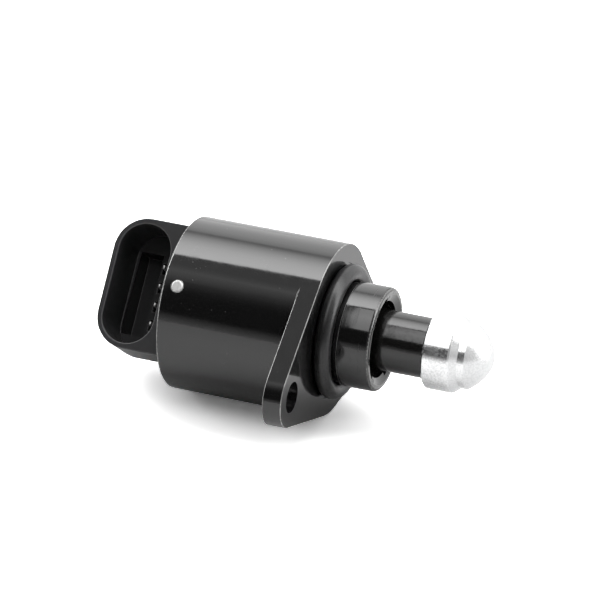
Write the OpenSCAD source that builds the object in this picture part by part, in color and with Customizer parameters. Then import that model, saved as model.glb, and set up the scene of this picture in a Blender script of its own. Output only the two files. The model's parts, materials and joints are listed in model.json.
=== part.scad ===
// Idle air control valve: a stepper motor in a flanged can drives a tapered pintle in and out.
// It lies on its side, as it would on a bench. The valve axis is X and the pintle points along +X.
// The origin is on the axis, in the plane of the flange's mounting face.

/* [Can] */
// Outer diameter of the can
can_d = 36; // [34:0.5:40]
// Length of the can behind the mounting face
can_l = 32.4; // [31:0.2:38]
// Wall thickness of the can
can_wall = 1.5; // [1.2:0.1:2]
// Rounding of the can's rear rim
rim_round = 0.5; // [0.2:0.1:0.8]

/* [Flange] */
// Thickness of the mounting flange
flange_t = 4; // [3:0.25:5]
// Distance from the valve axis to each screw hole
ear_reach = 25; // [24.5:0.5:30]
// Radius of each ear's rounded end
ear_r = 6.3; // [5.5:0.1:7.5]
// Diameter of each screw hole
hole_d = 6.4; // [5:0.1:7.4]
// Angle between the two ears about the valve axis
ear_angle = 147.5; // [140:0.5:180]

/* [Nose] */
// Outer diameter of the nose
nose_d = 21.6; // [21:0.1:22.4]
// Length of the nose in front of the mounting face
nose_l = 10.8; // [9:0.1:13]
// Rounding of the nose's front edge
nose_round = 0.8; // [0.3:0.1:1]
// Depth of the shallow countersink round the bore's mouth
lead_deep = 0.7; // [0.3:0.1:1]
// Width of that countersink
lead_w = 1.5; // [1:0.1:1.6]
// Depth of the groove that holds the mounting seal
groove_deep = 0.3; // [0.2:0.05:0.5]
// Width of the groove that holds the mounting seal
groove_w = 3.9; // [3.8:0.1:4.6]
// Section diameter of the mounting seal
seal_d = 3.53; // [3:0.01:3.6]
// Depth of the recess in the mounting face that the seal sits in
recess_deep = 0.2; // [0.1:0.05:0.5]

/* [Guide bore] */
// Diameter of the bore that guides the pintle
guide_d = 16; // [15.6:0.1:16.4]
// Depth of the two wide keyways in the bore
keyway_deep = 0.7; // [0.4:0.1:1]
// Half of the angle that each keyway spans
keyway_angle = 47; // [30:1:55]
// Radial clearance of the pieces that slide or turn
running_gap = 0.05; // [0.02:0.01:0.08]

/* [Pintle] */
// How far the tip's base stands in front of the mounting face at rest
tip_out = 21; // [19:0.5:24]
// Travel inwards from the rest position
travel_in = 8; // [4:0.5:8]
// Travel outwards from the rest position
travel_out = 1; // [0.5:0.5:2]
// Diameter of the black sleeve
sleeve_d = 12.5; // [11.5:0.1:13]
// Bore of the sleeve, where the spring runs
sleeve_bore = 9.6; // [9.4:0.1:10]
// Length of the sleeve's guide head
head_l = 4.5; // [4:0.25:5]
// Length of the sleeve's solid front end
sleeve_end = 6; // [5:0.5:8]
// Diameter of the tip's barrel
tip_d = 16.1; // [15:0.1:17]
// Length of the tip's barrel
barrel_l = 5.5; // [4:0.25:7]
// Chamfer at both ends of the barrel
barrel_chamfer = 0.35; // [0.2:0.05:0.6]
// Length of the cone in front of the barrel
shoulder_l = 1.75; // [1:0.25:3]
// Diameter of the narrow land in front of that cone
land_d = 13.5; // [12.5:0.1:14]
// Length of the land
land_l = 1.4; // [1:0.1:2]
// Length of the cone in front of the land
cone_l = 1.45; // [1:0.05:2]
// Diameter where the rounded nose of the tip starts
dome_d = 11.2; // [10:0.1:12]
// Radius of the arc that rounds the tip's nose
dome_r = 10.8; // [9:0.1:13]
// Angle round that arc at which the rounded nose starts
dome_start = 43; // [35:1:50]
// Angle round that arc at which the small flat cuts it off
dome_end = 66; // [60:1:70]

/* [Lead screw and spring] */
// Diameter of the lead screw
screw_d = 5; // [4:0.1:5.4]
// Distance from the can's rim in to the screw's rear end at rest
screw_from_rim = 7.4; // [7.2:0.1:7.9]
// How far the screw reaches into the tip
screw_in_tip = 6; // [4:0.5:7]
// Wire diameter of the spring
wire_d = 0.9; // [0.6:0.1:1]
// Turns of the spring
spring_turns = 7; // [5:1:9]

/* [Front bearing] */
// Outer diameter of the ball bearing
bearing_d = 17; // [16.6:0.1:17.4]
// Bore of the ball bearing
bearing_bore = 7; // [6.8:0.1:7.4]
// Width of the ball bearing
bearing_w = 5; // [4.5:0.1:5.4]
// Diameter of the balls
ball_d = 3; // [2.6:0.1:3]
// Number of balls
balls = 7; // [6:1:8]
// Clearance round each ball
ball_gap = 0.12; // [0.05:0.01:0.15]
// Thickness of the spring seat in front of the bearing
seat_t = 0.3; // [0.2:0.1:0.5]
// Wall of the boss that holds the bearing
boss_wall = 1.5; // [1.2:0.1:2]

/* [Motor] */
// Outer diameter of the magnet
magnet_d = 18; // [17:0.5:18.4]
// Wall of the magnet, which sits on the rotor's hub
magnet_wall = 3.2; // [2.8:0.1:3.4]
// Air gap between magnet and claws
air_gap = 0.3; // [0.2:0.05:0.5]
// Sheet thickness of the stator's cups and plates
sheet_t = 1; // [0.8:0.1:1.1]
// Number of claws on each cup and plate
claws = 6; // [4:2:8]
// Width of each claw
claw_w = 2.6; // [1.8:0.1:2.8]
// Wall of the bobbins
bobbin_wall = 0.8; // [0.6:0.1:1]
// Diameter of the rotor's rear journal
journal_d = 7.2; // [6.6:0.1:7.6]
// Wall of the rear bush
bush_wall = 1.6; // [1.2:0.1:1.8]
// Length of the rear bush
bush_l = 4; // [3:0.1:4]
// Thickness of the thrust washer
washer_t = 0.5; // [0.3:0.1:0.6]
// Width of the step in the can that the disc spring seats on
step_w = 2.2; // [1.8:0.1:2.6]

/* [Rear cover] */
// How far the cover reaches into the can
register_l = 4.7; // [4.6:0.1:5]
// Section diameter of the cover's seal
cover_seal_d = 1.16; // [1:0.02:1.2]
// Distance from the can's rim to the middle of that seal
cover_seal_in = 0.8; // [0.75:0.05:0.85]
// Diameter of the staking pins
stake_d = 2.5; // [2:0.1:2.7]
// Distance from the can's rim to the staking pins
stake_in = 3.2; // [2.7:0.1:3.2]
// How far the staking pins stand out of the can
stake_proud = 0.2; // [0.1:0.05:0.3]

/* [Socket] */
// Angle between the near ear and the socket's mouth
socket_angle = 45; // [40:1:50]
// Length of the shroud along the row of pins
shroud_long = 27.6; // [26:0.2:29]
// Length of the shroud along the valve axis, behind the can
shroud_back = 15.6; // [15.2:0.1:17]
// How far the shroud sits off the middle of the row of pins
shroud_off = 0.3; // [0:0.05:0.4]
// Height of the mouth above the valve axis
mouth_h = 9.3; // [8.5:0.1:10]
// Depth of the shroud's wide part below the valve axis
wide_low = 4; // [3.8:0.1:6]
// Rounding of the wide part's lower edge
wide_round = 3.3; // [2:0.1:3.4]
// Depth of the narrow part behind the pocket below the valve axis
shroud_low = 10.5; // [10:0.1:10.8]
// Wall of the shroud
shroud_wall = 1.2; // [1:0.1:1.5]
// Wall between the socket and the can
front_wall = 3.2; // [3:0.1:3.4]
// Depth of the socket's ledge below the valve axis
ledge_low = 2.5; // [2:0.1:2.6]
// Depth of the socket's inner pocket below the valve axis
pocket_low = 8.5; // [7:0.1:9]
// Width of the ledge beside the pocket
ledge_w = 0.5; // [0.4:0.1:0.8]
// Length of the pocket along the row of pins
pocket_long = 17.6; // [16:0.2:18]
// Width of the pocket along the valve axis
pocket_w = 5.1; // [4.6:0.1:5.3]
// Distance between the middles of two pins
pin_pitch = 4.05; // [3.9:0.05:4.2]
// Side of the square pins
pin_side = 0.9; // [0.7:0.05:1]
// Distance from the can's rim to the row of pins
pin_row = 7.1; // [7:0.1:7.2]
// How far the pins stand above the valve axis
pin_h = 0.5; // [0:0.1:1]

/* [Hidden] */
$fn = 96;

// A cut runs past the faces that it opens by this much
past = 1;
// Pieces that are only laid together stay this far apart
lay_gap = 0.1;
// The ears' straight sides meet the round faces this far inside the tangent, so that they cut them cleanly
tangent_in = 0.02;

can_r = can_d / 2;
can_inner_r = can_r - can_wall;
rim_x = -can_l;

// The far ear rests on the ground that the can lies on, and the near ear and the socket follow from it
ear_lean = acos((can_r - ear_r) / ear_reach);
far_ear_turn = ear_lean;
near_ear_turn = far_ear_turn - ear_angle;
socket_turn = near_ear_turn - socket_angle;

nose_r = nose_d / 2;
groove_r = nose_r - groove_deep;
seal_gap = 0.02;
seal_centre_r = groove_r + seal_gap + seal_d / 2;
guide_r = guide_d / 2;
bearing_r = bearing_d / 2;
boss_r = bearing_r + boss_wall;

// Places along the axis, from the guide head at the end of its inward travel back to the cover
head_cover = 3.3;
head_stop_gap = 0.2;
head_front = nose_l - travel_out - head_cover;
head_back = head_front - head_l;
seat_front = head_back - travel_in - head_stop_gap;
bearing_front = seat_front - seat_t;
bearing_back = bearing_front - bearing_w;
boss_back = bearing_back;
spring_h = 1;
boss_gap = 0.2;
stator_front = boss_back - boss_gap;
shoulder_x = stator_front + spring_h + lay_gap;
shoulder_r = can_inner_r - step_w;
front_t = 5;
cover_front = rim_x + register_l;
stator_back = cover_front;
phase_l = (stator_front - stator_back) / 2;
stator_mid = stator_front - phase_l;

magnet_r = magnet_d / 2;
hub_r = magnet_r - magnet_wall;
stator_r = magnet_r + air_gap;
stator_outer_r = can_inner_r - lay_gap;
shell_r = stator_outer_r - sheet_t;
claw_t = 0.9;
claw_tip_gap = 0.4;
bobbin_r = stator_r + claw_t + lay_gap;
bobbin_gap = 0.2;
bobbin_outer_r = shell_r - bobbin_gap;
wire_low = 0.3;

screw_r = screw_d / 2;
screw_hole_r = screw_r + running_gap;
journal_r = journal_d / 2;
bush_r = journal_r + running_gap + bush_wall;
washer_back = cover_front + lay_gap;
hub_back = washer_back + washer_t + lay_gap;
hub_gap = 0.5;
hub_front = boss_back - hub_gap;
hub_short = 0.4;
journal_short = 0.5;
collar_wall = 1;
collar_r = bearing_bore / 2 + collar_wall;
bush_back = cover_front - bush_l;
screw_back_x = rim_x + screw_from_rim;
screw_end_room = 1;
screw_side_room = 0.5;
magnet_margin = 0.6;

sleeve_r = sleeve_d / 2;
sleeve_front = tip_out;
tip_r = tip_d / 2;

// The cover's staking pins, its seal and the recess where the coil wires meet the terminals
stake_x = rim_x + stake_in;
stake_deep = 5;
cover_seal_x = rim_x + cover_seal_in;
cover_seal_r = can_inner_r - seal_gap - cover_seal_d / 2;
seal_groove_w = cover_seal_d + 2 * seal_gap;
pins = 4;
wiring_long = pins * pin_pitch + 1;
wiring_deep = 2.8;
cover_proud = 0.1;

// The shroud, in a frame whose Z points out of the mouth and whose Y runs along the row of pins
corner_r = 7;
round_steps = 5;
slice_t = 0.01;
shroud_back_x = rim_x - shroud_back;
mouth_back_x = shroud_back_x + shroud_wall;
mouth_front_x = rim_x - front_wall;
mouth_r = (mouth_front_x - mouth_back_x) / 2;
mouth_x = (mouth_front_x + mouth_back_x) / 2;
mouth_long = shroud_long - 2 * shroud_wall;
pocket_x = mouth_back_x + ledge_w;
narrow_back_x = pocket_x - shroud_wall;
narrow_long = pocket_long + 2 * shroud_wall;
narrow_corner = 2;
pin_x = rim_x - pin_row;
pin_well = 2.2;
pin_well_deep = 2;
leg_room = 2.5;
leg_short = 0.6;
leg_h = -(pin_well_deep + ledge_low + leg_room);
leg_front = cover_front - leg_short;

// A solid bar, a ring and a turned piece, all about the valve axis
module bar(x0, x1, r) translate([x0, 0, 0]) rotate([0, 90, 0]) cylinder(h = x1 - x0, r = r);

module ring(x0, x1, r_in, r_out) difference() {
    bar(x0, x1, r_out);
    bar(x0 - past, x1 + past, r_in);
}

// Points are given as radius and place along the axis
module turned(points) rotate([0, 90, 0]) rotate_extrude() polygon(points);

function arc(r, x, radius, from, to, steps = 6) =
    [for (i = [0:steps]) let (a = from + (to - from) * i / steps) [r + radius * cos(a), x + radius * sin(a)]];

// A torus of the given section about the valve axis
module torus(x, r, section_r) rotate([0, 90, 0]) translate([0, 0, x]) rotate_extrude()
    translate([r, 0]) circle(r = section_r);

// Two opposite sectors along a direction turned from straight down
module wedges(x0, x1, turn, half) for (side = [0, 180])
    rotate([turn + side, 0, 0]) translate([x0, 0, 0]) rotate([0, 90, 0]) linear_extrude(x1 - x0)
        polygon([[0, 0], [can_r, can_r * tan(half)], [can_r, -can_r * tan(half)]]);

// The guide bore's section, which the sleeve's head shares with its clearance
module keyed(x0, x1, gap) {
    bar(x0, x1, guide_r - gap);
    intersection() {
        bar(x0, x1, guide_r + keyway_deep - gap);
        wedges(x0, x1, socket_turn, keyway_angle - gap / guide_r * 180 / PI);
    }
}

module at_socket() rotate([socket_turn + 180, 0, 0]) children();

// Housing
module can_outside() turned(concat(
    [[0, rim_x]],
    arc(can_r - rim_round, rim_x + rim_round, rim_round, -90, 0, 6),
    [[can_r, 0], [0, 0]]
));

module ear(turn) rotate([turn, 0, 0]) {
    can_side_r = can_r - tangent_in;
    ear_side_r = ear_r - tangent_in;
    translate([-flange_t, 0, -ear_reach]) rotate([0, 90, 0]) cylinder(h = flange_t, r = ear_r);
    translate([-flange_t, 0, 0]) rotate([0, 90, 0]) linear_extrude(flange_t) polygon([
        [0, 0],
        [can_side_r * cos(ear_lean), can_side_r * sin(ear_lean)],
        [ear_reach + ear_side_r * cos(ear_lean), ear_side_r * sin(ear_lean)],
        [ear_reach + ear_side_r * cos(ear_lean), -ear_side_r * sin(ear_lean)],
        [can_side_r * cos(ear_lean), -can_side_r * sin(ear_lean)]
    ]);
}

module ear_hole(turn) rotate([turn, 0, 0]) translate([-flange_t - past, 0, -ear_reach])
    rotate([0, 90, 0]) cylinder(h = flange_t + 2 * past, d = hole_d);

module nose() turned(concat(
    [[0, -past], [groove_r, -past], [groove_r, groove_w], [nose_r, groove_w]],
    arc(nose_r - nose_round, nose_l - nose_round, nose_round, 0, 90, 6),
    [[0, nose_l]]
));

// The countersink's cone runs on past the bore and past the front face
module lead_in() {
    cone_back = nose_l - lead_deep - lay_gap;
    cone_front = nose_l + past;
    slope = lead_w / lead_deep;
    turned([
        [0, cone_back],
        [guide_r - lay_gap * slope, cone_back],
        [guide_r + (lead_deep + past) * slope, cone_front],
        [0, cone_front]
    ]);
}

module can_inside() {
    bar(rim_x - past, shoulder_x, can_inner_r);
    ring(rim_x, -front_t, boss_r, shoulder_r);
    bar(rim_x, boss_back, shoulder_r);
    bar(boss_back - past, seat_front, bearing_r);
}

module stake_holes() for (side = [0, 180]) rotate([socket_turn + side, 0, 0])
    translate([stake_x, 0, -can_r - past]) cylinder(h = stake_deep + past + lay_gap, d = stake_d);

module housing() color("#131314") difference() {
    union() {
        can_outside();
        ear(near_ear_turn);
        ear(far_ear_turn);
        nose();
    }
    can_inside();
    keyed(seat_front - lay_gap, nose_l + past, 0);
    lead_in();
    ear_hole(near_ear_turn);
    ear_hole(far_ear_turn);
    stake_holes();
    ring(-recess_deep, past, groove_r, seal_centre_r + seal_d / 2 + lay_gap);
}

module mount_seal() color("#1c1c1c")
    torus(seal_d / 2 + seal_gap - recess_deep, seal_centre_r, seal_d / 2);

// Rear cover
module rounded_back(back_x, long, r) {
    for (side = [-1, 1]) translate([back_x + r, side * (long / 2 - r)]) circle(r = r);
    translate([back_x, r - long / 2]) square([rim_x - back_x, long - 2 * r]);
    translate([back_x + r, -long / 2]) square([rim_x - back_x - r, long]);
}

module wide_part() translate([0, shroud_off, 0]) hull() {
    translate([0, 0, wide_round - wide_low]) linear_extrude(mouth_h + wide_low - wide_round)
        rounded_back(shroud_back_x, shroud_long, corner_r);
    for (i = [1:round_steps]) {
        inset = wide_round * (1 - cos(90 * i / round_steps));
        translate([0, 0, wide_round * (1 - sin(90 * i / round_steps)) - wide_low]) linear_extrude(slice_t)
            rounded_back(shroud_back_x + inset, shroud_long - 2 * inset, corner_r - inset);
    }
}

module narrow_part() translate([0, 0, -shroud_low]) linear_extrude(shroud_low)
    rounded_back(narrow_back_x, narrow_long, narrow_corner);

module mouth_outline() translate([0, shroud_off]) {
    for (side = [-1, 1]) translate([mouth_x, side * (mouth_long / 2 - mouth_r)]) circle(r = mouth_r);
    translate([mouth_back_x, -mouth_long / 2 + mouth_r]) square([2 * mouth_r, mouth_long - 2 * mouth_r]);
}

function pin_y(i) = (i - (pins + 1) / 2) * pin_pitch;

module socket_cuts() {
    translate([0, 0, -ledge_low]) linear_extrude(ledge_low + mouth_h + past) mouth_outline();
    translate([pocket_x, -pocket_long / 2, -pocket_low]) cube([pocket_w, pocket_long, pocket_low]);
    for (i = [1:pins]) translate([pin_x - pin_well / 2, pin_y(i) - pin_well / 2, -ledge_low - pin_well_deep])
        cube([pin_well, pin_well, pin_well_deep + past]);
}

module terminal(i) at_socket() translate([0, pin_y(i) + pin_side / 2, 0]) rotate([90, 0, 0])
    linear_extrude(pin_side) polygon([
        [pin_x - pin_side / 2, leg_h],
        [pin_x - pin_side / 2, pin_h - pin_side / 2],
        [pin_x - pin_side / 5, pin_h],
        [pin_x + pin_side / 5, pin_h],
        [pin_x + pin_side / 2, pin_h - pin_side / 2],
        [pin_x + pin_side / 2, leg_h + pin_side],
        [leg_front, leg_h + pin_side],
        [leg_front, leg_h]
    ]);

module rear_cover() color("#26272a") difference() {
    union() {
        bar(rim_x - cover_proud, cover_front, can_inner_r);
        at_socket() wide_part();
        at_socket() narrow_part();
    }
    at_socket() socket_cuts();
    ring(cover_seal_x - seal_groove_w / 2, cover_seal_x + seal_groove_w / 2,
        can_inner_r - cover_seal_d - 2 * seal_gap, can_r);
    stake_holes();
    bar(bush_back, cover_front + past, bush_r);
    bar(screw_back_x - travel_in - screw_end_room, bush_back + past, screw_hole_r + screw_side_room);
    at_socket() translate([cover_front - wiring_deep, -wiring_long / 2, leg_h - pin_side])
        cube([wiring_deep + past, wiring_long, 3 * pin_side]);
    for (i = [1:pins]) terminal(i);
}

module cover_seal() color("#202020") torus(cover_seal_x, cover_seal_r, cover_seal_d / 2);

module cover_pins() color("#b9bab8") for (side = [0, 180]) rotate([socket_turn + side, 0, 0])
    translate([stake_x, 0, -can_r - stake_proud]) cylinder(h = stake_deep + stake_proud, d = stake_d);

// Stator
module stator_claws(root_x, tip_x, shift) for (i = [0:claws / 2 - 1]) intersection() {
    ring(min(root_x, tip_x), max(root_x, tip_x), stator_r, stator_r + claw_t);
    rotate([shift + i * 360 / claws, 0, 0])
        translate([min(root_x, tip_x), -claw_w / 2, -can_r]) cube([abs(tip_x - root_x), claw_w, can_d]);
}

module stator_cup(end_x, way) color("#8d9196") {
    inner_x = end_x + way * sheet_t;
    far_x = end_x + way * (phase_l - sheet_t);
    ring(min(end_x, inner_x), max(end_x, inner_x), stator_r, stator_outer_r);
    ring(min(end_x, far_x), max(end_x, far_x), shell_r, stator_outer_r);
    stator_claws(end_x, far_x - way * claw_tip_gap, 0);
}

module pole_plate(far_x, way) color("#9a9ea3") {
    ring(min(stator_mid, stator_mid + way * sheet_t), max(stator_mid, stator_mid + way * sheet_t),
        stator_r, stator_outer_r);
    stator_claws(stator_mid, far_x, 180 / claws);
}

module bobbin(x0, x1) color("#d8d2c0") {
    ring(x0, x1, bobbin_r, bobbin_r + bobbin_wall);
    ring(x0, x0 + bobbin_wall, bobbin_r, bobbin_outer_r);
    ring(x1 - bobbin_wall, x1, bobbin_r, bobbin_outer_r);
}

module winding(x0, x1) color("#b4622d")
    ring(x0 + bobbin_wall, x1 - bobbin_wall, bobbin_r + bobbin_wall, bobbin_outer_r - wire_low);

module disc_spring() color("#a5a8ab") turned([
    [shoulder_r + lay_gap, stator_front],
    [can_inner_r - lay_gap, stator_front + spring_h - sheet_t / 2],
    [can_inner_r - lay_gap, stator_front + spring_h],
    [shoulder_r + lay_gap, stator_front + sheet_t / 2]
]);

// Front bearing
pitch_r = (bearing_r + bearing_bore / 2) / 2;
bearing_x = (bearing_front + bearing_back) / 2;
land_gap = 0.55;
cage_wall = 0.3;
cage_half = ball_d / 2 + ball_gap + cage_wall;

module ball_track() torus(bearing_x, pitch_r, ball_d / 2 + ball_gap);

module ball_row(r) for (i = [0:balls - 1]) rotate([i * 360 / balls, 0, 0])
    translate([bearing_x, 0, pitch_r]) sphere(r = r);

module bearing_outer_ring() color("#c3c6c9") difference() {
    ring(bearing_back, bearing_front, pitch_r + ball_d / 2 - land_gap, bearing_r);
    ball_track();
}

module bearing_inner_ring() color("#c3c6c9") difference() {
    ring(bearing_back, bearing_front, bearing_bore / 2, pitch_r - ball_d / 2 + land_gap);
    ball_track();
}

module bearing_balls() color("#d9dcdf") ball_row(ball_d / 2);

module bearing_cage() color("#8a7444") difference() {
    ring(bearing_x - cage_half, bearing_x + cage_half, pitch_r - cage_wall, pitch_r + cage_wall);
    ball_row(ball_d / 2 + ball_gap);
}

seat_bore_gap = 0.4;

module spring_seat() color("#aeb1b4")
    ring(bearing_front, seat_front, screw_r + seat_bore_gap, bearing_r - lay_gap);

// Rotor
module rotor_hub() color("#e3dfd2") difference() {
    union() {
        bar(boss_back, bearing_front - hub_short, bearing_bore / 2);
        bar(hub_front, boss_back, collar_r);
        bar(hub_back, hub_front, hub_r);
        bar(bush_back + journal_short, hub_back, journal_r);
    }
    bar(bush_back, seat_front, screw_hole_r);
}

module rotor_magnet() color("#3a3b3e")
    ring(hub_back + magnet_margin, hub_front - magnet_margin, hub_r, magnet_r);

module thrust_washer() color("#c9b26a") ring(washer_back, washer_back + washer_t, journal_r + lay_gap, hub_r);

module rear_bush() color("#b08d4a") ring(bush_back, cover_front, journal_r + running_gap, bush_r);

// Pintle
module lead_screw() color("#b5b8bb") bar(screw_back_x, tip_out + screw_in_tip, screw_r);

module pintle_sleeve() color("#17181a") difference() {
    union() {
        keyed(head_back, head_front, running_gap);
        bar(head_back, sleeve_front, sleeve_r);
    }
    bar(head_back - past, sleeve_front - sleeve_end, sleeve_bore / 2);
    bar(head_back, sleeve_front + past, screw_r);
}

barrel_front = tip_out + barrel_l;
land_back = barrel_front + shoulder_l;
land_front = land_back + land_l;
dome_x = land_front + cone_l;

module pintle_tip() color("#d4d6d8") difference() {
    turned(concat(
        [
            [0, tip_out],
            [tip_r - barrel_chamfer, tip_out],
            [tip_r, tip_out + barrel_chamfer],
            [tip_r, barrel_front],
            [tip_r - barrel_chamfer / 2, barrel_front + barrel_chamfer],
            [land_d / 2, land_back],
            [land_d / 2, land_front]
        ],
        arc(dome_d / 2 - dome_r * cos(dome_start), dome_x - dome_r * sin(dome_start), dome_r,
            dome_start, dome_end, 12),
        [[0, dome_x + dome_r * (sin(dome_end) - sin(dome_start))]]
    ));
    bar(tip_out - past, tip_out + screw_in_tip, screw_r);
}

// Spring: a wire swept along a helix whose end turns are closed
coil_gap = 0.5;
coil_r = screw_r + coil_gap + wire_d / 2;
closed_pitch = wire_d + lay_gap;
spring_back = seat_front + wire_d / 2;
spring_front = sleeve_front - sleeve_end - wire_d / 2;
wire_sides = 8;
turn_steps = 12;
wire_steps = spring_turns * turn_steps;

function wire_x(turn) = turn < 1 ? spring_back + closed_pitch * turn
    : turn > spring_turns - 1 ? spring_front - closed_pitch * (spring_turns - turn)
    : spring_back + closed_pitch
        + (spring_front - spring_back - 2 * closed_pitch) * (turn - 1) / (spring_turns - 2);

function wire_ring(step) = [
    for (side = [0:wire_sides - 1])
        let (
            around = step / turn_steps * 360,
            a = side * 360 / wire_sides,
            r = coil_r + wire_d / 2 * cos(a)
        )
        [wire_x(step / turn_steps) + wire_d / 2 * sin(a), r * cos(around), r * sin(around)]
];

module preload_spring() color("#a9adb1") polyhedron(
    points = [for (step = [0:wire_steps]) each wire_ring(step)],
    faces = concat(
        [[for (side = [wire_sides - 1:-1:0]) side]],
        [[for (side = [0:wire_sides - 1]) wire_steps * wire_sides + side]],
        [
            for (step = [0:wire_steps - 1])
                for (side = [0:wire_sides - 1])
                    let (
                        here = step * wire_sides + side,
                        next = step * wire_sides + (side + 1) % wire_sides
                    )
                    each [
                        [here, next, next + wire_sides],
                        [here, next + wire_sides, here + wire_sides]
                    ]
        ]
    )
);

housing();
mount_seal();
rear_cover();
cover_seal();
cover_pins();
color("#cfd2d4") terminal(1);  // terminal_1
color("#cfd2d4") terminal(2);  // terminal_2
color("#cfd2d4") terminal(3);  // terminal_3
color("#cfd2d4") terminal(4);  // terminal_4
disc_spring();
stator_cup(stator_front, -1);  // stator_cup_front
pole_plate(stator_front - sheet_t - claw_tip_gap, 1);  // pole_plate_front
pole_plate(stator_back + sheet_t + claw_tip_gap, -1);  // pole_plate_rear
stator_cup(stator_back, 1);  // stator_cup_rear
bobbin(stator_mid + sheet_t + lay_gap, stator_front - sheet_t - lay_gap);  // bobbin_front
bobbin(stator_back + sheet_t + lay_gap, stator_mid - sheet_t - lay_gap);  // bobbin_rear
winding(stator_mid + sheet_t + lay_gap, stator_front - sheet_t - lay_gap);  // winding_front
winding(stator_back + sheet_t + lay_gap, stator_mid - sheet_t - lay_gap);  // winding_rear
spring_seat();
bearing_outer_ring();
bearing_balls();
bearing_cage();
bearing_inner_ring();
rear_bush();
thrust_washer();
rotor_hub();
rotor_magnet();
lead_screw();
pintle_sleeve();
pintle_tip();
preload_spring();
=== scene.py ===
import json
import math

import bmesh
import bpy
from mathutils import Matrix, Vector


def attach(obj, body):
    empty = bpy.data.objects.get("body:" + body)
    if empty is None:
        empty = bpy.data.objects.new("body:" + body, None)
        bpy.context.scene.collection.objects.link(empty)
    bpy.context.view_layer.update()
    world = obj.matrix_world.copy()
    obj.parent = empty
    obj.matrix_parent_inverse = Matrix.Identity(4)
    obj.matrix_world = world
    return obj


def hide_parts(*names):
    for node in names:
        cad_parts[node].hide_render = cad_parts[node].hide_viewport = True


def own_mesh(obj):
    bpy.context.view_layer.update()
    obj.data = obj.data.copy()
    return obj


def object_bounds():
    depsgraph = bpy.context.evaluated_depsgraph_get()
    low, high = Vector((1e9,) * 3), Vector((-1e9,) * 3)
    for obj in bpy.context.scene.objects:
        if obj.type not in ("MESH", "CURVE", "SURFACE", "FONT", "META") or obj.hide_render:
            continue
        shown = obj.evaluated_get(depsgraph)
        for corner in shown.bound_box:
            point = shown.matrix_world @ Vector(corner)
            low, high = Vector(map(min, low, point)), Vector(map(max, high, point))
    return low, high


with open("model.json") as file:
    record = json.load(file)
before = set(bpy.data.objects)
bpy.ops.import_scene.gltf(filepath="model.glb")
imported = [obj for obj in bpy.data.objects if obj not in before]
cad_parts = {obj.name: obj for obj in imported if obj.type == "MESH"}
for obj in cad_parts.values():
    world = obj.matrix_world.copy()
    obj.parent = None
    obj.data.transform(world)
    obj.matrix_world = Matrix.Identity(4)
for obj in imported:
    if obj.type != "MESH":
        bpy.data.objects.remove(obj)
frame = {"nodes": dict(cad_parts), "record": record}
cadBox = [list(corner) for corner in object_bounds()]
nodes = frame["nodes"]
mm = 0.001


# Small helpers for the shader trees
def addNode(tree, kind, **settings):
    node = tree.nodes.new("ShaderNode" + kind)
    for name, value in settings.items():
        setattr(node, name, value)
    return node


def join(tree, source, target):
    tree.links.new(source, target)


def setOrJoin(tree, value, socket):
    if isinstance(value, (int, float)):
        socket.default_value = value
    else:
        join(tree, value, socket)


def newGroup(name, inputs, outputs):
    group = bpy.data.node_groups.new(name, "ShaderNodeTree")
    for label, value in inputs:
        socket = group.interface.new_socket(name=label, in_out="INPUT", socket_type="NodeSocketFloat")
        socket.default_value = value
    for label, kind in outputs:
        group.interface.new_socket(name=label, in_out="OUTPUT", socket_type="NodeSocket" + kind)
    return group, group.nodes.new("NodeGroupInput"), group.nodes.new("NodeGroupOutput")


def useGroup(tree, group, **values):
    node = tree.nodes.new("ShaderNodeGroup")
    node.node_tree = group
    for name, value in values.items():
        node.inputs[name.replace("_", " ")].default_value = value
    return node


def noiseOn(tree, scale, detail, roughness=0.55):
    place = addNode(tree, "TexCoord")
    noise = addNode(tree, "TexNoise")
    for name, value in (("Scale", scale), ("Detail", detail), ("Roughness", roughness)):
        noise.inputs[name].default_value = value
    join(tree, place.outputs["Object"], noise.inputs["Vector"])
    return noise.outputs["Fac"]


# Turns low..high of a value into toLow..toHigh
def spread(tree, value, low, high, toLow, toHigh):
    ramp = addNode(tree, "MapRange")
    for name, number in (("From Min", low), ("From Max", high), ("To Min", toLow), ("To Max", toHigh)):
        ramp.inputs[name].default_value = number
    join(tree, value, ramp.inputs["Value"])
    return ramp.outputs["Result"]


def times(tree, one, other):
    node = addNode(tree, "Math", operation="MULTIPLY")
    setOrJoin(tree, one, node.inputs[0])
    setOrJoin(tree, other, node.inputs[1])
    return node.outputs[0]


def larger(tree, one, other):
    node = addNode(tree, "Math", operation="MAXIMUM")
    join(tree, one, node.inputs[0])
    join(tree, other, node.inputs[1])
    return node.outputs[0]


def blendColors(tree, mask, plain, other):
    mix = addNode(tree, "Mix", data_type="RGBA")
    mix.inputs["A"].default_value = (*plain, 1)
    mix.inputs["B"].default_value = (*other, 1)
    join(tree, mask, mix.inputs["Factor"])
    return mix.outputs["Result"]


def blendValues(tree, mask, plain, other):
    mix = addNode(tree, "Mix", data_type="FLOAT")
    setOrJoin(tree, plain, mix.inputs["A"])
    setOrJoin(tree, other, mix.inputs["B"])
    join(tree, mask, mix.inputs["Factor"])
    return mix.outputs["Result"]


# Wear and painted highlight: a mask of rubbed edges, in patches, which stand partly for worn corners and
# partly for painted highlights on them, and of small specks that lie in fields
wearAndHighlight = {"patchScale": 420, "patches": (0.36, 0.52, 0.45, 1.0), "dots": (0.04, 0.1, 1.0, 0.0),
        "fieldScale": 160, "fields": (0.56, 0.66, 0.0, 1.0)}


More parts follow.
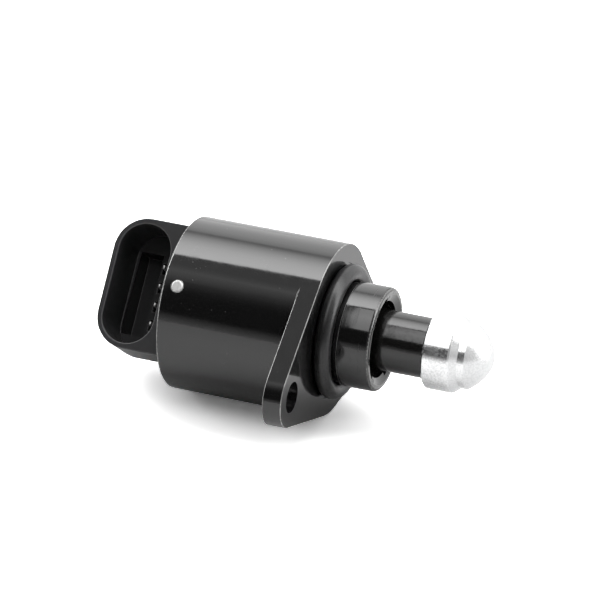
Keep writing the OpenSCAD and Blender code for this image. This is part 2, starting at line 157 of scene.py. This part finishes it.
def makeWearAndHighlightGroup():
    group, inside, outside = newGroup("wearAndEdgeHighlight", [
        ("Edge Amount", 1.0), ("Speck Amount", 0.5), ("Speck Scale", 900.0)], [("Mask", "Float")])
    edge = addNode(group, "Attribute", attribute_name="wearAndPaintedLight")
    patches = spread(group, noiseOn(group, wearAndHighlight["patchScale"], 4.0, 0.6), *wearAndHighlight["patches"])
    edgeMask = times(group, times(group, edge.outputs["Fac"], patches), inside.outputs["Edge Amount"])
    place = addNode(group, "TexCoord")
    cells = addNode(group, "TexVoronoi", feature="F1")
    join(group, place.outputs["Object"], cells.inputs["Vector"])
    join(group, inside.outputs["Speck Scale"], cells.inputs["Scale"])
    dots = spread(group, cells.outputs["Distance"], *wearAndHighlight["dots"])
    fields = spread(group, noiseOn(group, wearAndHighlight["fieldScale"], 2.0), *wearAndHighlight["fields"])
    speckMask = times(group, times(group, dots, fields), inside.outputs["Speck Amount"])
    join(group, larger(group, edgeMask, speckMask), outside.inputs["Mask"])
    return group


# Moulded or cast surface: a normal with fine grain over long soft waves
surface = {"grainHeight": 0.03 * mm, "waveHeight": 0.1 * mm, "waveScale": 330}


def makeGrainGroup():
    group, inside, outside = newGroup("surfaceGrain", [
        ("Grain Scale", 3000.0), ("Grain Depth", 0.2), ("Wave Depth", 0.2),
    ], [("Normal", "Vector"), ("Fine", "Float"), ("Broad", "Float")])
    place = addNode(group, "TexCoord")
    fine = addNode(group, "TexNoise")
    fine.inputs["Detail"].default_value = 4.0
    join(group, place.outputs["Object"], fine.inputs["Vector"])
    join(group, inside.outputs["Grain Scale"], fine.inputs["Scale"])
    broad = noiseOn(group, surface["waveScale"], 2.0)
    small = addNode(group, "Bump")
    small.inputs["Distance"].default_value = surface["grainHeight"]
    join(group, inside.outputs["Grain Depth"], small.inputs["Strength"])
    join(group, fine.outputs["Fac"], small.inputs["Height"])
    large = addNode(group, "Bump")
    large.inputs["Distance"].default_value = surface["waveHeight"]
    join(group, inside.outputs["Wave Depth"], large.inputs["Strength"])
    join(group, broad, large.inputs["Height"])
    join(group, small.outputs["Normal"], large.inputs["Normal"])
    join(group, large.outputs["Normal"], outside.inputs["Normal"])
    join(group, fine.outputs["Fac"], outside.inputs["Fine"])
    join(group, broad, outside.inputs["Broad"])
    return group


# Lines left by turning about the valve axis: they change only along it
turning = {"lineHeight": 0.02 * mm, "detail": 5.0, "roughness": 0.7}


def makeTurnedGroup():
    group, inside, outside = newGroup("turnedLines", [
        ("Line Scale", 900.0), ("Line Depth", 0.2)], [("Normal", "Vector"), ("Lines", "Float")])
    place = addNode(group, "TexCoord")
    split = addNode(group, "SeparateXYZ")
    join(group, place.outputs["Object"], split.inputs["Vector"])
    alongAxis = addNode(group, "CombineXYZ")
    join(group, split.outputs["X"], alongAxis.inputs["X"])
    lines = addNode(group, "TexNoise")
    lines.inputs["Detail"].default_value = turning["detail"]
    lines.inputs["Roughness"].default_value = turning["roughness"]
    join(group, alongAxis.outputs["Vector"], lines.inputs["Vector"])
    join(group, inside.outputs["Line Scale"], lines.inputs["Scale"])
    bump = addNode(group, "Bump")
    bump.inputs["Distance"].default_value = turning["lineHeight"]
    join(group, inside.outputs["Line Depth"], bump.inputs["Strength"])
    join(group, lines.outputs["Fac"], bump.inputs["Height"])
    join(group, bump.outputs["Normal"], outside.inputs["Normal"])
    join(group, lines.outputs["Fac"], outside.inputs["Lines"])
    return group


wearAndHighlightGroup = makeWearAndHighlightGroup()
grainGroup = makeGrainGroup()
turnedGroup = makeTurnedGroup()


# Finishes: all colours are linear
def startMaterial(name):
    material = bpy.data.materials.new(name)
    material.use_nodes = True
    return material, material.node_tree, material.node_tree.nodes["Principled BSDF"]


def grainOf(tree, finish):
    return useGroup(tree, grainGroup, Grain_Scale=finish["grainScale"], Grain_Depth=finish["grainDepth"],
                    Wave_Depth=finish["waveDepth"])


def wearAndHighlightOf(tree, finish):
    return useGroup(tree, wearAndHighlightGroup, Edge_Amount=finish["edges"], Speck_Amount=finish["specks"],
                    Speck_Scale=finish["speckScale"])


# The bare colour goes on rubbed corners, the rear rim, the nose's front face and specks: on the corners and
# rim it is also painted highlight, on the nose's front face painted reflection
paint = {
    "colour": (0.0035, 0.0035, 0.0036), "roughness": 0.07, "cloudy": 0.05, "ior": 1.66,
    "bareAndPaintedLight": (0.5, 0.5, 0.49), "bareRoughness": 0.45, "bareMetallic": 0.35,
    "edges": 0.5, "specks": 0.35, "speckScale": 800.0,
    "grainScale": 2600.0, "grainDepth": 0.05, "waveDepth": 0.08,
}
noseScuff = {"roughness": 0.32, "lineScale": 2600.0, "lines": (0.42, 0.62), "starts": (3.5 * mm, 4.5 * mm),
             "patchScale": 260, "patches": (0.4, 0.6, 0.2, 1.0)}


# Fine lines round the nose, as from going in and out of a bore
def noseScuffs(tree):
    turned = useGroup(tree, turnedGroup, Line_Scale=noseScuff["lineScale"])
    lines = spread(tree, turned.outputs["Lines"], *noseScuff["lines"], 0.0, noseScuff["roughness"])
    split = addNode(tree, "SeparateXYZ")
    join(tree, addNode(tree, "TexCoord").outputs["Object"], split.inputs["Vector"])
    onNose = spread(tree, split.outputs["X"], *noseScuff["starts"], 0.0, 1.0)
    patches = spread(tree, noiseOn(tree, noseScuff["patchScale"], 3.0), *noseScuff["patches"])
    return times(tree, times(tree, lines, patches), onNose)


def makePaint():
    material, tree, skin = startMaterial("blackCanPaint")
    mask = wearAndHighlightOf(tree, paint).outputs["Mask"]
    grain = grainOf(tree, paint)
    join(tree, blendColors(tree, mask, paint["colour"], paint["bareAndPaintedLight"]), skin.inputs["Base Color"])
    gloss = paint["roughness"]
    sheen = spread(tree, grain.outputs["Broad"], 0.35, 0.7, gloss, gloss + paint["cloudy"])
    scuffed = larger(tree, sheen, noseScuffs(tree))
    join(tree, blendValues(tree, mask, scuffed, paint["bareRoughness"]), skin.inputs["Roughness"])
    join(tree, times(tree, mask, paint["bareMetallic"]), skin.inputs["Metallic"])
    join(tree, grain.outputs["Normal"], skin.inputs["Normal"])
    skin.inputs["IOR"].default_value = paint["ior"]
    return material


# Moulded rubber and plastics. Their rubbed colour goes on specks and on worn corners, where it is also a
# painted highlight
rubber = {
    "colour": (0.009, 0.009, 0.0095), "wearAndPaintedLight": (0.04, 0.04, 0.04), "roughness": 0.3, "ior": 1.5,
    "grainScale": 3500.0, "grainDepth": 0.25, "waveDepth": 0.12, "edges": 0.3, "specks": 0.2,
}
coverFinish = {
    "colour": (0.018, 0.018, 0.019), "wearAndPaintedLight": (0.13, 0.13, 0.132), "roughness": 0.36, "ior": 1.5,
    "grainScale": 4200.0, "grainDepth": 0.3, "waveDepth": 0.1, "edges": 0.35, "specks": 0.15,
}
sleeveFinish = {
    "colour": (0.005, 0.0048, 0.0046), "wearAndPaintedLight": (0.16, 0.155, 0.15), "roughness": 0.13, "ior": 1.6,
    "grainScale": 1800.0, "grainDepth": 0.16, "waveDepth": 0.35, "edges": 0.6, "specks": 0.1,
}
bobbinFinish = {
    "colour": (0.6, 0.55, 0.42), "wearAndPaintedLight": (0.7, 0.66, 0.55), "roughness": 0.45, "ior": 1.5,
    "grainScale": 3000.0, "grainDepth": 0.3, "waveDepth": 0.2, "edges": 0.4, "specks": 0.0,
}
hubFinish = {
    "colour": (0.68, 0.64, 0.54), "wearAndPaintedLight": (0.76, 0.73, 0.65), "roughness": 0.42, "ior": 1.5,
    "grainScale": 2800.0, "grainDepth": 0.3, "waveDepth": 0.2, "edges": 0.3, "specks": 0.0,
}
mouldedSkin = {"speckScale": 1100.0, "smoother": 0.04, "rougher": 0.08, "rubbedRougher": 0.2}


def makeMoulded(name, finish):
    material, tree, skin = startMaterial(name)
    mask = wearAndHighlightOf(tree, {**mouldedSkin, **finish}).outputs["Mask"]
    grain = grainOf(tree, finish)
    join(tree, blendColors(tree, mask, finish["colour"], finish["wearAndPaintedLight"]), skin.inputs["Base Color"])
    rough = finish["roughness"]
    sheen = spread(tree, grain.outputs["Fine"], 0.3, 0.7, rough - mouldedSkin["smoother"],
                   rough + mouldedSkin["rougher"])
    wearAndPaintedLight = rough + mouldedSkin["rubbedRougher"]
    join(tree, blendValues(tree, mask, sheen, wearAndPaintedLight), skin.inputs["Roughness"])
    join(tree, grain.outputs["Normal"], skin.inputs["Normal"])
    skin.inputs["IOR"].default_value = finish["ior"]
    return material


# Turned and pressed metals
stakeFinish = {"colour": (0.7, 0.7, 0.69), "dull": (0.45, 0.45, 0.45), "roughness": 0.42,
               "lineScale": 2400.0, "lineDepth": 0.5, "metallic": 0.7}
terminalFinish = {"colour": (0.9, 0.9, 0.89), "dull": (0.75, 0.75, 0.74), "roughness": 0.25,
                  "lineScale": 2000.0, "lineDepth": 0.2, "metallic": 0.9}
pressedFinish = {"colour": (0.42, 0.43, 0.45), "dull": (0.3, 0.31, 0.33), "roughness": 0.35,
                 "lineScale": 700.0, "lineDepth": 0.3, "metallic": 1.0}
groundFinish = {"colour": (0.66, 0.67, 0.68), "dull": (0.5, 0.51, 0.52), "roughness": 0.22,
                "lineScale": 1400.0, "lineDepth": 0.25, "metallic": 1.0}
bronzeFinish = {"colour": (0.5, 0.33, 0.14), "dull": (0.36, 0.22, 0.09), "roughness": 0.4,
                "lineScale": 1100.0, "lineDepth": 0.3, "metallic": 1.0}
turnedSkin = {"lines": (0.35, 0.7, 0.0, 1.0), "dullRougher": 0.12}


def turnedLinesOf(tree, finish):
    return useGroup(tree, turnedGroup, Line_Scale=finish["lineScale"], Line_Depth=finish["lineDepth"])


def makeTurned(name, finish):
    material, tree, skin = startMaterial(name)
    turned = turnedLinesOf(tree, finish)
    lines = spread(tree, turned.outputs["Lines"], *turnedSkin["lines"])
    join(tree, blendColors(tree, lines, finish["colour"], finish["dull"]), skin.inputs["Base Color"])
    rough = finish["roughness"]
    join(tree, blendValues(tree, lines, rough, rough + turnedSkin["dullRougher"]), skin.inputs["Roughness"])
    join(tree, turned.outputs["Normal"], skin.inputs["Normal"])
    skin.inputs["Metallic"].default_value = finish["metallic"]
    return material


# The tip's barrel and land are polished, its cones and dome finely turned and also painted darker as shade,
# and all have small hazy pits
tipFinish = {
    "colour": (0.94, 0.945, 0.95), "dull": (0.72, 0.725, 0.73), "roughness": 0.15, "turned": 0.28,
    "hazed": 0.78, "pitScale": 2200, "pitDepth": 0.5, "pits": (0.42, 0.62), "lineScale": 1500.0,
    "lineDepth": 0.12,
}


def makeTip():
    material, tree, skin = startMaterial("turnedAluminium")
    turned = turnedLinesOf(tree, tipFinish)
    wearAndPaintedLight = addNode(tree, "Attribute", attribute_name="wearAndPaintedLight")
    pitNoise = noiseOn(tree, tipFinish["pitScale"], 4.0, 0.65)
    pits = spread(tree, pitNoise, *tipFinish["pits"], 0.0, tipFinish["pitDepth"])
    dull = larger(tree, wearAndPaintedLight.outputs["Fac"], pits)
    join(tree, blendColors(tree, dull, tipFinish["colour"], tipFinish["dull"]), skin.inputs["Base Color"])
    rough = blendValues(tree, dull, tipFinish["roughness"], tipFinish["turned"])
    join(tree, rough, skin.inputs["Roughness"])
    hazy = spread(tree, pits, 0.0, tipFinish["pitDepth"], 1.0, tipFinish["hazed"])
    join(tree, hazy, skin.inputs["Metallic"])
    join(tree, turned.outputs["Normal"], skin.inputs["Normal"])
    return material


magnetFinish = {"colour": (0.03, 0.031, 0.034), "grit": (0.09, 0.09, 0.095), "metallic": 0.6,
                "roughness": (0.4, 0.6), "grainScale": 5000.0, "grainDepth": 0.5, "waveDepth": 0.1}


def makeMagnet():
    material, tree, skin = startMaterial("sinteredMagnet")
    grain = grainOf(tree, magnetFinish)
    grit = spread(tree, grain.outputs["Fine"], 0.5, 0.75, 0.0, 1.0)
    tint = blendColors(tree, grit, magnetFinish["colour"], magnetFinish["grit"])
    join(tree, tint, skin.inputs["Base Color"])
    rough = spread(tree, grain.outputs["Fine"], 0.3, 0.7, *magnetFinish["roughness"])
    join(tree, rough, skin.inputs["Roughness"])
    join(tree, grain.outputs["Normal"], skin.inputs["Normal"])
    skin.inputs["Metallic"].default_value = magnetFinish["metallic"]
    return material


# Windings show as fine turns of lacquered wire
wire = {"shadow": (0.22, 0.06, 0.015), "colour": (0.62, 0.22, 0.07), "turnScale": 1600.0, "uneven": 0.6,
        "turnHeight": 0.1 * mm, "depth": 0.8, "metallic": 0.9, "roughness": 0.3}


def makeWinding():
    material, tree, skin = startMaterial("lacqueredWire")
    place = addNode(tree, "TexCoord")
    turns = addNode(tree, "TexWave", wave_type="BANDS", bands_direction="X", wave_profile="SIN")
    turns.inputs["Scale"].default_value = wire["turnScale"]
    turns.inputs["Distortion"].default_value = wire["uneven"]
    join(tree, place.outputs["Object"], turns.inputs["Vector"])
    bump = addNode(tree, "Bump")
    bump.inputs["Distance"].default_value = wire["turnHeight"]
    bump.inputs["Strength"].default_value = wire["depth"]
    join(tree, turns.outputs["Fac"], bump.inputs["Height"])
    join(tree, bump.outputs["Normal"], skin.inputs["Normal"])
    tint = blendColors(tree, turns.outputs["Fac"], wire["shadow"], wire["colour"])
    join(tree, tint, skin.inputs["Base Color"])
    skin.inputs["Metallic"].default_value = wire["metallic"]
    skin.inputs["Roughness"].default_value = wire["roughness"]
    return material


finishes = {
    "can_paint": makePaint(),
    "seal_rubber": makeMoulded("sealRubber", rubber),
    "cover_plastic": makeMoulded("coverPlastic", coverFinish),
    "stake_metal": makeTurned("stakePin", stakeFinish),
    "terminal_metal": makeTurned("tinnedTerminal", terminalFinish),
    "stator_steel": makeTurned("pressedSteel", pressedFinish),
    "bobbin_plastic": makeMoulded("bobbinNylon", bobbinFinish),
    "copper_wire": makeWinding(),
    "bright_steel": makeTurned("groundSteel", groundFinish),
    "bronze": makeTurned("sinteredBronze", bronzeFinish),
    "magnet": makeMagnet(),
    "hub_plastic": makeMoulded("hubNylon", hubFinish),
    "sleeve_plastic": makeMoulded("sleevePlastic", sleeveFinish),
    "tip_aluminium": makeTip(),
}
slotOf = {part["node"]: part["material_slot"] for part in frame["record"]["subparts"]}
for name, node in nodes.items():
    node.data.materials.clear()
    node.data.materials.append(finishes[slotOf[name]])
print("finishes made and placed on the carried-over nodes")


# Every piece ends here: crease is the angle in degrees past which an edge stays sharp
def finishPiece(bm, name, replaced, crease=12.0):
    for face in bm.faces:
        face.smooth = True
    for edge in bm.edges:
        edge.smooth = not (edge.is_manifold and edge.calc_face_angle(0) > math.radians(crease))
    mesh = bpy.data.meshes.new(name)
    bm.to_mesh(mesh)
    bm.free()
    piece = bpy.data.objects.new(name, mesh)
    bpy.context.collection.objects.link(piece)
    mesh.materials.append(finishes[slotOf[replaced]])
    body = next(b for b, held in frame["record"]["behaviour"]["bodies"].items() if replaced in held)
    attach(piece, body)
    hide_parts(replaced)
    return piece


# The layer that the wear and the tip's finish read, from 0 to 1 on each face. On the housing and the moulded
# parts it marks worn corners, also painted lighter as highlight, and the nose's front face, also painted
# lighter as reflection; on the tip it marks the cones and dome, also painted darker as shade
def wearAndPaintedLightLayer(bm):
    return bm.faces.layers.float.new("wearAndPaintedLight")


# CAD meshes are loose triangles: points closer than merge become one, and faces within flat degrees join
carried = {"merge": 0.002 * mm, "flat": 0.4}


def copyNode(replaced):
    bm = bmesh.new()
    bm.from_mesh(nodes[replaced].data)
    bmesh.ops.remove_doubles(bm, verts=bm.verts, dist=carried["merge"])
    return bm


# A copy of a CAD node with its corners broken, as casting, moulding and paint leave them. The new corner
# faces are marked as worn, and where the finish reads the mark their lighter colour is also a painted
# highlight
def breakCorners(name, replaced, shape, wearAndPaintedLightFaces=None, onEdge=None):
    bm = copyNode(replaced)
    bmesh.ops.dissolve_limit(bm, angle_limit=math.radians(carried["flat"]), verts=bm.verts, edges=bm.edges,
                             use_dissolve_boundaries=False)
    sharp = [e for e in bm.edges
             if e.is_manifold and e.calc_face_angle(0) > math.radians(shape["sharperThan"])
             and (onEdge is None or onEdge((e.verts[0].co + e.verts[1].co) / 2))]
    wearAndPaintedLight = wearAndPaintedLightLayer(bm)
    made = bmesh.ops.bevel(bm, geom=sharp, offset=shape["corner"], offset_type="OFFSET",
                           segments=shape["segments"], profile=0.5, affect="EDGES", material=-1,
                           clamp_overlap=False)
    for face in made["faces"]:
        face[wearAndPaintedLight] = 1.0
    for vert in bm.verts:
        vert.co.z = max(vert.co.z, cadBox[0][2])  # a bevel can push a point just through the floor
    if wearAndPaintedLightFaces:
        for face in bm.faces:
            face[wearAndPaintedLight] = max(face[wearAndPaintedLight], wearAndPaintedLightFaces(face))
    return finishPiece(bm, name, replaced, shape.get("crease", 12.0))


# Housing: painted all over, with its corners, the rear rim and the nose's front rubbed, and painted lighter
# there: the corners and rim as worn paint and painted highlight, the nose's front face as worn paint and
# painted reflection. sharperThan is in degrees, a slope is how far a face looks along the axis, and a skin
# is the least distance from the axis
housing = {
    "corner": 0.15 * mm, "segments": 2, "sharperThan": 35, "canSkin": 16.6 * mm,
    "noseBack": 3 * mm, "noseSkin": 10.7 * mm, "noseFront": 10.8 * mm,
    "screwHoles": (Vector((-24.92, -2.003)) * mm, Vector((22.092, -11.7)) * mm), "holeClear": 3.4 * mm,
    "faceWearAndReflection": 0.5, "faceDepth": 0.2 * mm, "faceSlope": 0.95,
    "rimWearAndHighlight": 0.9, "rimFront": -31.9 * mm, "rimSkin": 17 * mm, "rimSlope": (-0.9, -0.4),
    "edgeWearAndHighlight": 0.4, "edgeDepth": 0.8 * mm, "edgeSkin": 9.9 * mm, "edgeSlope": (0.6, 0.8),
}


# Faces painted lighter: the nose's front face as worn paint and painted reflection, the rear rim and the
# nose's front edge as worn paint and painted highlight
def housingWearAndLight(face):
    h, middle, slope = housing, face.calc_center_median(), face.normal.x
    r = middle.yz.length
    if abs(middle.x - h["noseFront"]) < h["faceDepth"] and slope > h["faceSlope"]:
        return h["faceWearAndReflection"]
    if middle.x < h["rimFront"] and r > h["rimSkin"] and h["rimSlope"][0] < slope < h["rimSlope"][1]:
        return h["rimWearAndHighlight"]
    onEdge = middle.x > h["noseFront"] - h["edgeDepth"] and r > h["edgeSkin"]
    return h["edgeWearAndHighlight"] if onEdge and h["edgeSlope"][0] < slope < h["edgeSlope"][1] else 0.0


# Only the corners outside on the can and the nose, not those in the holes, in the bore or under the seal
def housingEdge(middle):
    h, r = housing, middle.yz.length
    inHole = any((middle.yz - centre).length < h["holeClear"] for centre in h["screwHoles"])
    return not inHole and (r > h["canSkin"] or (middle.x > h["noseBack"] and r > h["noseSkin"]))


breakCorners("paintedHousing", "housing", housing, housingWearAndLight, housingEdge)
print("housing done")

# Rear cover with its connector shroud. The pocket's long way and its way out are in Y and Z
cover = {"corner": 0.22 * mm, "segments": 3, "sharperThan": 40, "behind": -32.6 * mm,
         "longWay": Vector((0.648, 0.7615)), "wayOut": Vector((-0.7615, 0.648)),
         "ledgeEnd": 8.6 * mm, "ledge": (-3.5 * mm, -2 * mm)}


# The ledge at the pocket's two ends keeps its sharp corners, which lie too close together to round
def coverEdge(middle):
    along, out = middle.yz.dot(cover["longWay"]), middle.yz.dot(cover["wayOut"])
    atEnds = abs(along) > cover["ledgeEnd"] and cover["ledge"][0] < out < cover["ledge"][1]
    return middle.x < cover["behind"] and not atEnds


breakCorners("connectorShroud", "rear_cover", cover, None, coverEdge)

# Terminals in the socket, and the pins that stake the cover in the can
pins = {"corner": 0.2 * mm, "segments": 3, "sharperThan": 30, "crease": 50.0}
for number in (1, 2, 3, 4):
    breakCorners(f"terminalPin{number}", f"terminal_{number}", pins)
stake = {"corner": 0.35 * mm, "segments": 3, "sharperThan": 40}
breakCorners("stakePins", "cover_pins", stake)
print("connector shroud, terminals and stake pins done")


# Turns what is drawn in the XZ plane all round the valve axis
def spinRound(bm, steps):
    bmesh.ops.spin(bm, geom=bm.verts[:] + bm.edges[:], cent=(0, 0, 0), axis=(1, 0, 0),
                   angle=2 * math.pi, steps=steps, use_merge=True)
    bmesh.ops.remove_doubles(bm, verts=bm.verts, dist=1e-7)
    bmesh.ops.recalc_face_normals(bm, faces=bm.faces)


# Pintle tip, in millimetres and degrees: a polished barrel and land between finely turned cones, and a
# rounded nose with a small flat. The cones and the rounded nose are also painted darker as shade
tip = {
    "base": 21.0, "barrelRadius": 8.05, "barrelFront": 26.5, "landRadius": 6.75, "landBack": 28.25,
    "landFront": 29.65, "chamfer": 0.35, "domeRadius": 10.8, "domeStart": 43, "domeEnd": 66, "domeSteps": 14,
    "domeX": 31.1, "domeR": 5.6, "boreRadius": 2.5, "boreDepth": 6.0, "coneFinishAndShade": 0.75, "domeFinishAndShade": 0.85,
    "steps": 144,
}


# Points from the bore's end round the outside to the nose's flat, as (place along the axis, radius)
def tipProfile():
    t = tip
    points = [(t["base"] + t["boreDepth"], 0), (t["base"] + t["boreDepth"], t["boreRadius"]),
              (t["base"], t["boreRadius"]), (t["base"], t["barrelRadius"] - t["chamfer"]),
              (t["base"] + t["chamfer"], t["barrelRadius"]), (t["barrelFront"], t["barrelRadius"]),
              (t["barrelFront"] + t["chamfer"], t["barrelRadius"] - t["chamfer"] / 2),
              (t["landBack"], t["landRadius"]), (t["landFront"], t["landRadius"])]
    start = math.radians(t["domeStart"])
    middleR = t["domeR"] - t["domeRadius"] * math.cos(start)
    middleX = t["domeX"] - t["domeRadius"] * math.sin(start)
    for step in range(t["domeSteps"] + 1):
        angle = start + (math.radians(t["domeEnd"]) - start) * step / t["domeSteps"]
        points.append((middleX + t["domeRadius"] * math.sin(angle),
                       middleR + t["domeRadius"] * math.cos(angle)))
    points.append((points[-1][0], 0))
    return points


# The cones and dome take the dull colour: partly their finer turning, partly painted shade where they show
# darker
def tipFinishAndShade(x):
    if x > tip["landFront"]:
        return tip["domeFinishAndShade"]
    return tip["coneFinishAndShade"] if tip["barrelFront"] + tip["chamfer"] < x < tip["landBack"] else 0.0


def makeTurnedTip():
    bm = bmesh.new()
    points = [bm.verts.new((x * mm, 0, r * mm)) for x, r in tipProfile()]
    for pair in zip(points, points[1:]):
        bm.edges.new(pair)
    spinRound(bm, tip["steps"])
    wearAndPaintedLight = wearAndPaintedLightLayer(bm)
    for face in bm.faces:
        face[wearAndPaintedLight] = tipFinishAndShade(face.calc_center_median().x / mm)
    finishPiece(bm, "turnedTip", "pintle_tip")


makeTurnedTip()
print("pintle tip done")

# Sleeve: its guide head has two wide keys, so it is a copy of the CAD node
sleeve = {"corner": 0.15 * mm, "segments": 2, "sharperThan": 35}
breakCorners("pintleSleeve", "pintle_sleeve", sleeve)

# Mounting seal, in millimetres: a round section with the fine seams that the mould leaves
seal = {"centre": 1.585, "ring": 12.285, "section": 3.53, "innerSeam": 0.03, "outerSeam": 0.012,
        "sides": 40, "steps": 128, "crease": 30.0}


def makeSeal():
    bm = bmesh.new()
    bmesh.ops.create_circle(bm, segments=seal["sides"], radius=seal["section"] / 2 * mm, cap_ends=False)
    bmesh.ops.rotate(bm, verts=bm.verts, cent=(0, 0, 0), matrix=Matrix.Rotation(math.pi / 2, 3, "X"))
    outer = max(bm.verts, key=lambda v: v.co.z)
    inner = min(bm.verts, key=lambda v: v.co.z)
    outer.co.z += seal["outerSeam"] * mm
    inner.co.z -= seal["innerSeam"] * mm
    bmesh.ops.translate(bm, verts=bm.verts, vec=(seal["centre"] * mm, 0, seal["ring"] * mm))
    spinRound(bm, seal["steps"])
    wearAndPaintedLightLayer(bm)
    finishPiece(bm, "mountingSeal", "mount_seal", seal["crease"])


makeSeal()

# Preload spring: a copy of the CAD coil, which keeps its drawn length, though the real coil shortens as the
# pintle goes in. Lengths in millimetres
spring = {"seat": -6.2, "longAtRest": 21.2, "longPressed": 13.2, "crease": 60.0}


def makeSpring():
    bm = copyNode("preload_spring")
    wearAndPaintedLightLayer(bm)
    coil = finishPiece(bm, "preloadCoil", "preload_spring", spring["crease"])
    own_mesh(coil)


makeSpring()
print("sleeve, seal and spring done")

# Studio floor: paler where the camera sees it than where it lights the valve
studio = {"floorBelow": 0.02 * mm, "floorSize": 12.0, "floorColour": 0.57, "seenColour": 1.9,
          "floorLift": 0.06}


def makeFloor():
    bm = bmesh.new()
    bmesh.ops.create_grid(bm, x_segments=2, y_segments=2, size=studio["floorSize"])
    bmesh.ops.translate(bm, verts=bm.verts, vec=(0, 0, cadBox[0][2] - studio["floorBelow"]))
    mesh = bpy.data.meshes.new("paleFloor")
    bm.to_mesh(mesh)
    bm.free()
    floor = bpy.data.objects.new("paleFloor", mesh)
    bpy.context.collection.objects.link(floor)
    material = bpy.data.materials.new("paleFloorPaper")
    material.use_nodes = True
    tree = material.node_tree
    tree.nodes.clear()
    output = addNode(tree, "OutputMaterial")
    paper = addNode(tree, "BsdfDiffuse")
    glow = addNode(tree, "Emission")
    seen = addNode(tree, "LightPath").outputs["Is Camera Ray"]
    shade = blendColors(tree, seen, (studio["floorColour"],) * 3, (studio["seenColour"],) * 3)
    join(tree, shade, paper.inputs["Color"])
    join(tree, times(tree, seen, studio["floorLift"]), glow.inputs["Strength"])
    both = addNode(tree, "AddShader")
    join(tree, paper.outputs[0], both.inputs[0])
    join(tree, glow.outputs[0], both.inputs[1])
    join(tree, both.outputs[0], output.inputs["Surface"])
    mesh.materials.append(material)


makeFloor()

# Brightness of the room from the camera's side, 0, to the far side, 1: dark behind the camera, a bright
# strip overhead with a soft far edge, a seam, and a paler wall beyond
room = [
    (0.0, 0.05), (0.12, 0.04), (0.15, 0.07), (0.182, 0.135), (0.234, 0.36),
    (0.292, 0.75), (0.353, 1.05), (0.418, 0.65), (0.527, 0.6), (0.539, 7.6), (0.57, 7.4), (0.615, 6.9),
    (0.678, 6.0), (0.7375, 4.6), (0.79, 3.0), (0.832, 1.4), (0.845, 1.0), (0.86, 1.85), (0.9, 2.1),
    (0.965, 1.9), (1.0, 1.0),
]
# Least brightness to the left, to the right and near the horizon. The ramp's colours are parts of top
sides = {"leftFrom": -0.62, "leftTo": -0.92, "left": 2.4, "rightFrom": 0.1, "rightTo": 0.4, "right": 0.3,
         "low": 0.85, "lowTo": 0.22, "top": 8.0}


def makeRoom():
    world = bpy.data.worlds.new("studioRoom")
    bpy.context.scene.world = world
    world.use_nodes = True
    tree = world.node_tree
    tree.nodes.clear()
    split = addNode(tree, "SeparateXYZ")
    join(tree, addNode(tree, "TexCoord").outputs["Generated"], split.inputs["Vector"])
    across = spread(tree, split.outputs["Y"], -1.0, 1.0, 0.0, 1.0)
    ramp = addNode(tree, "ValToRGB")
    stops = ramp.color_ramp.elements
    while len(stops) > 1:
        stops.remove(stops[-1])
    stops[0].position = room[0][0]
    stops[0].color = (room[0][1] / sides["top"],) * 3 + (1,)
    for position, level in room[1:]:
        stops.new(position).color = (level / sides["top"],) * 3 + (1,)
    join(tree, across, ramp.inputs["Fac"])
    left = spread(tree, split.outputs["X"], sides["leftFrom"], sides["leftTo"], 0.0, sides["left"])
    right = spread(tree, split.outputs["X"], sides["rightFrom"], sides["rightTo"], 0.0, sides["right"])
    low = spread(tree, split.outputs["Z"], 0.0, sides["lowTo"], sides["low"], 0.0)
    beside = larger(tree, low, larger(tree, left, right))
    level = larger(tree, times(tree, ramp.outputs["Color"], sides["top"]), beside)
    glow = addNode(tree, "Background")
    join(tree, level, glow.inputs["Strength"])
    plain = addNode(tree, "Background")
    plain.inputs["Color"].default_value = (1, 1, 1, 1)
    pick = addNode(tree, "MixShader")
    output = addNode(tree, "OutputWorld")
    join(tree, addNode(tree, "LightPath").outputs["Is Camera Ray"], pick.inputs["Fac"])
    join(tree, glow.outputs[0], pick.inputs[1])
    join(tree, plain.outputs[0], pick.inputs[2])
    join(tree, pick.outputs[0], output.inputs["Surface"])


makeRoom()

# A small soft lamp over the front that shows in the sleeve and the tip, in metres and watts
card = {"centre": (-0.0108, -0.0596, 0.1289), "width": 0.0415, "length": 0.122, "power": 0.037}


def aim(thing, place, target):
    thing.location = place
    thing.rotation_euler = (Vector(target) - Vector(place)).to_track_quat("-Z", "Y").to_euler()
    bpy.context.collection.objects.link(thing)


def makeCard():
    lamp = bpy.data.lights.new("frontCard", "AREA")
    lamp.shape, lamp.energy = "RECTANGLE", card["power"]
    lamp.size, lamp.size_y = card["width"], card["length"]
    straightBelow = (card["centre"][0], 0, 0)
    aim(bpy.data.objects.new("frontCard", lamp), card["centre"], straightBelow)


makeCard()

# Camera at the photograph's angle, level, with a long lens
view = {"place": (0.2795, -0.7422, 0.4617), "aim": (-0.00798, 0.00021, 0.00536), "lens": 270.0,
        "sensor": 36.0, "nearest": 0.01}
eye = bpy.data.cameras.new("studioCamera")
eye.lens, eye.sensor_width, eye.clip_start = view["lens"], view["sensor"], view["nearest"]
camera = bpy.data.objects.new("studioCamera", eye)
aim(camera, view["place"], view["aim"])
bpy.context.scene.camera = camera
bpy.context.scene.view_settings.view_transform = "Standard"
print("studio done")
